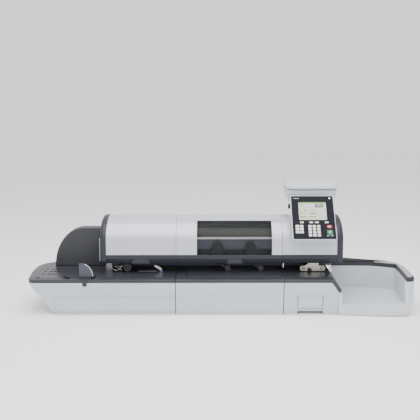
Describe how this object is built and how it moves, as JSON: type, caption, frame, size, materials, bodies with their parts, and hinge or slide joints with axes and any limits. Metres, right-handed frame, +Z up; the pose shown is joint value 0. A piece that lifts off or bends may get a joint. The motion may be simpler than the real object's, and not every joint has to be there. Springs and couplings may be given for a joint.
{
  "type": "franking machine",
  "caption": "Tabletop franking line: rounded letter feeder, covered sealing and franking modules, tilting keypad screen, weighing plate and open catch tray.",
  "frame": {"origin": "middle of the machine's footprint box, on the table", "axes": "+X along the mail flow from feeder to catch tray, -Y towards the operator, +Z up"},
  "size_m": [1.64, 0.4, 0.5215],
  "materials": {
    "light_casing": "fine spark texture, satin",
    "silver_cover": "smooth satin",
    "charcoal_plastic": "fine spark texture",
    "frame_grey": "matt moulded",
    "smoked_window": "clear smoked",
    "rubber": "matt",
    "zinc_steel": "zinc plated sheet",
    "motor_steel": "turned",
    "screen_glass": "clear over a lit screen",
    "white_key": "satin",
    "red_key": "satin",
    "green_key": "satin",
    "circuit_board": "lacquered laminate"
  },
  "bodies": {
    "machine": {"feeder_base_casing": "light_casing", "sealer_base_casing": "light_casing", "franker_base_casing": "light_casing", "feeder_deck": "charcoal_plastic", "sealer_deck": "charcoal_plastic", "franker_deck": "charcoal_plastic", "catch_tray": "light_casing", "catch_tray_rim": "charcoal_plastic", "feeder_wall": "charcoal_plastic", "franker_hood": "silver_cover", "franker_hood_trim": "charcoal_plastic", "upper_frame": "frame_grey", "eject_bracket": "zinc_steel", "print_cartridge": "rubber", "power_inlet": "charcoal_plastic", "drive_motor": "motor_steel", "main_board": "circuit_board", "scale_housing": "light_casing"},
    "feeder_cover": {"feeder_hood": "silver_cover", "feeder_hood_trim": "charcoal_plastic"},
    "sealer_cover": {"sealer_hood": "silver_cover", "hood_window": "smoked_window", "sealer_hood_trim": "charcoal_plastic"},
    "guide": {"side_guide": "frame_grey"},
    "guide_lock": {"guide_lock": "charcoal_plastic"},
    "control_panel": {"panel_housing": "light_casing", "panel_bezel": "charcoal_plastic", "display": "screen_glass"},
    "weigh_plate": {"weigh_pan": "light_casing"},
    "ink_drawer": {"ink_drawer": "light_casing"},
    "pressure_arm_1": {"pressure_arm_1": "rubber"},
    "pressure_arm_2": {"pressure_arm_2": "rubber"},
    "feed_roller": {"feed_roller": "rubber"},
    "separator_roller": {"separator_roller": "rubber"},
    "eject_roller": {"eject_roller": "rubber"},
    "power_switch": {"power_switch": "rubber"},
    "soft_key_1": {"soft_key_1": "white_key"},
    "soft_key_2": {"soft_key_2": "white_key"},
    "soft_key_3": {"soft_key_3": "white_key"},
    "soft_key_4": {"soft_key_4": "white_key"},
    "function_key_1": {"function_key_1": "white_key"},
    "function_key_2": {"function_key_2": "white_key"},
    "function_key_3": {"function_key_3": "white_key"},
    "function_key_4": {"function_key_4": "white_key"},
    "function_key_5": {"function_key_5": "white_key"},
    "function_key_6": {"function_key_6": "white_key"},
    "key_1": {"key_1": "white_key"},
    "key_2": {"key_2": "white_key"},
    "key_3": {"key_3": "white_key"},
    "key_4": {"key_4": "white_key"},
    "key_5": {"key_5": "white_key"},
    "key_6": {"key_6": "white_key"},
    "key_7": {"key_7": "white_key"},
    "key_8": {"key_8": "white_key"},
    "key_9": {"key_9": "white_key"},
    "key_clear": {"key_clear": "white_key"},
    "key_0": {"key_0": "white_key"},
    "key_enter": {"key_enter": "white_key"},
    "stop_key": {"stop_key": "red_key"},
    "start_key": {"start_key": "green_key"}
  },
  "joints": [
    {"name": "feeder_cover_hinge", "type": "hinge", "parent": "machine", "child": "feeder_cover", "pos_m": [-0.35, 0.134, 0.3045], "axis": [-1, 0, 0], "range_deg": [0, 70]},
    {"name": "sealer_cover_hinge", "type": "hinge", "parent": "machine", "child": "sealer_cover", "pos_m": [0.04, 0.134, 0.3045], "axis": [-1, 0, 0], "range_deg": [0, 70]},
    {"name": "side_guide_slide", "type": "slide", "parent": "machine", "child": "guide", "axis": [0, 1, 0], "range_m": [0, 0.11]},
    {"name": "guide_lock_hinge", "type": "hinge", "parent": "machine", "child": "guide_lock", "pos_m": [-0.5645, -0.1835, 0.152], "axis": [-1, 0, 0], "range_deg": [0, 40]},
    {"name": "panel_tilt", "type": "hinge", "parent": "machine", "child": "control_panel", "pos_m": [0.394, -0.07029, 0.37636], "axis": [1, 0, 0], "range_deg": [-10, 15]},
    {"name": "weigh_plate_press", "type": "slide", "parent": "machine", "child": "weigh_plate", "axis": [0, 0, -1], "range_m": [0, 0.001], "stiffness_N_per_m": 20000},
    {"name": "ink_drawer_slide", "type": "slide", "parent": "machine", "child": "ink_drawer", "axis": [0, -1, 0], "range_m": [0, 0.08]},
    {"name": "pressure_arm_1_pivot", "type": "hinge", "parent": "machine", "child": "pressure_arm_1", "pos_m": [-0.0105, -0.0458, 0.252], "axis": [0, -1, 0], "range_deg": [0, 15], "stiffness_Nm_per_rad": 1, "springref_deg": -5.73},
    {"name": "pressure_arm_2_pivot", "type": "hinge", "parent": "machine", "child": "pressure_arm_2", "pos_m": [0.1317, -0.0458, 0.252], "axis": [0, -1, 0], "range_deg": [0, 15], "stiffness_Nm_per_rad": 1, "springref_deg": -5.73},
    {"name": "feed_roller_spin", "type": "hinge", "parent": "machine", "child": "feed_roller", "pos_m": [-0.4, -0.025, 0.1392], "axis": [0, 1, 0], "continuous": true},
    {"name": "separator_roller_spin", "type": "hinge", "parent": "machine", "child": "separator_roller", "pos_m": [-0.4, -0.01, 0.1778], "axis": [0, 1, 0], "continuous": true},
    {"name": "eject_roller_spin", "type": "hinge", "parent": "machine", "child": "eject_roller", "pos_m": [0.387, -0.06, 0.1675], "axis": [0, 1, 0], "continuous": true},
    {"name": "power_switch_rock", "type": "hinge", "parent": "machine", "child": "power_switch", "pos_m": [0.43, 0.126, 0.06], "axis": [1, 0, 0], "range_deg": [-6, 6]},
    {"name": "soft_key_1_press", "type": "slide", "parent": "control_panel", "child": "soft_key_1", "axis": [0, 0.7818, -0.6235], "range_m": [0, 0.0012], "stiffness_N_per_m": 800},
    {"name": "soft_key_2_press", "type": "slide", "parent": "control_panel", "child": "soft_key_2", "axis": [0, 0.7818, -0.6235], "range_m": [0, 0.0012], "stiffness_N_per_m": 800},
    {"name": "soft_key_3_press", "type": "slide", "parent": "control_panel", "child": "soft_key_3", "axis": [0, 0.7818, -0.6235], "range_m": [0, 0.0012], "stiffness_N_per_m": 800},
    {"name": "soft_key_4_press", "type": "slide", "parent": "control_panel", "child": "soft_key_4", "axis": [0, 0.7818, -0.6235], "range_m": [0, 0.0012], "stiffness_N_per_m": 800},
    {"name": "function_key_1_press", "type": "slide", "parent": "control_panel", "child": "function_key_1", "axis": [0, 0.7818, -0.6235], "range_m": [0, 0.0012], "stiffness_N_per_m": 800},
    {"name": "function_key_2_press", "type": "slide", "parent": "control_panel", "child": "function_key_2", "axis": [0, 0.7818, -0.6235], "range_m": [0, 0.0012], "stiffness_N_per_m": 800},
    {"name": "function_key_3_press", "type": "slide", "parent": "control_panel", "child": "function_key_3", "axis": [0, 0.7818, -0.6235], "range_m": [0, 0.0012], "stiffness_N_per_m": 800},
    {"name": "function_key_4_press", "type": "slide", "parent": "control_panel", "child": "function_key_4", "axis": [0, 0.7818, -0.6235], "range_m": [0, 0.0012], "stiffness_N_per_m": 800},
    {"name": "function_key_5_press", "type": "slide", "parent": "control_panel", "child": "function_key_5", "axis": [0, 0.7818, -0.6235], "range_m": [0, 0.0012], "stiffness_N_per_m": 800},
    {"name": "function_key_6_press", "type": "slide", "parent": "control_panel", "child": "function_key_6", "axis": [0, 0.7818, -0.6235], "range_m": [0, 0.0012], "stiffness_N_per_m": 800},
    {"name": "key_1_press", "type": "slide", "parent": "control_panel", "child": "key_1", "axis": [0, 0.7818, -0.6235], "range_m": [0, 0.0012], "stiffness_N_per_m": 800},
    {"name": "key_2_press", "type": "slide", "parent": "control_panel", "child": "key_2", "axis": [0, 0.7818, -0.6235], "range_m": [0, 0.0012], "stiffness_N_per_m": 800},
    {"name": "key_3_press", "type": "slide", "parent": "control_panel", "child": "key_3", "axis": [0, 0.7818, -0.6235], "range_m": [0, 0.0012], "stiffness_N_per_m": 800},
    {"name": "key_4_press", "type": "slide", "parent": "control_panel", "child": "key_4", "axis": [0, 0.7818, -0.6235], "range_m": [0, 0.0012], "stiffness_N_per_m": 800},
    {"name": "key_5_press", "type": "slide", "parent": "control_panel", "child": "key_5", "axis": [0, 0.7818, -0.6235], "range_m": [0, 0.0012], "stiffness_N_per_m": 800},
    {"name": "key_6_press", "type": "slide", "parent": "control_panel", "child": "key_6", "axis": [0, 0.7818, -0.6235], "range_m": [0, 0.0012], "stiffness_N_per_m": 800},
    {"name": "key_7_press", "type": "slide", "parent": "control_panel", "child": "key_7", "axis": [0, 0.7818, -0.6235], "range_m": [0, 0.0012], "stiffness_N_per_m": 800},
    {"name": "key_8_press", "type": "slide", "parent": "control_panel", "child": "key_8", "axis": [0, 0.7818, -0.6235], "range_m": [0, 0.0012], "stiffness_N_per_m": 800},
    {"name": "key_9_press", "type": "slide", "parent": "control_panel", "child": "key_9", "axis": [0, 0.7818, -0.6235], "range_m": [0, 0.0012], "stiffness_N_per_m": 800},
    {"name": "key_clear_press", "type": "slide", "parent": "control_panel", "child": "key_clear", "axis": [0, 0.7818, -0.6235], "range_m": [0, 0.0012], "stiffness_N_per_m": 800},
    {"name": "key_0_press", "type": "slide", "parent": "control_panel", "child": "key_0", "axis": [0, 0.7818, -0.6235], "range_m": [0, 0.0012], "stiffness_N_per_m": 800},
    {"name": "key_enter_press", "type": "slide", "parent": "control_panel", "child": "key_enter", "axis": [0, 0.7818, -0.6235], "range_m": [0, 0.0012], "stiffness_N_per_m": 800},
    {"name": "stop_key_press", "type": "slide", "parent": "control_panel", "child": "stop_key", "axis": [0, 0.7818, -0.6235], "range_m": [0, 0.0012], "stiffness_N_per_m": 800},
    {"name": "start_key_press", "type": "slide", "parent": "control_panel", "child": "start_key", "axis": [0, 0.7818, -0.6235], "range_m": [0, 0.0012], "stiffness_N_per_m": 800}
  ],
  "couplings": [
    {"joint": "separator_roller_spin", "follows": "feed_roller_spin", "ratio": -1.1111}
  ]
}
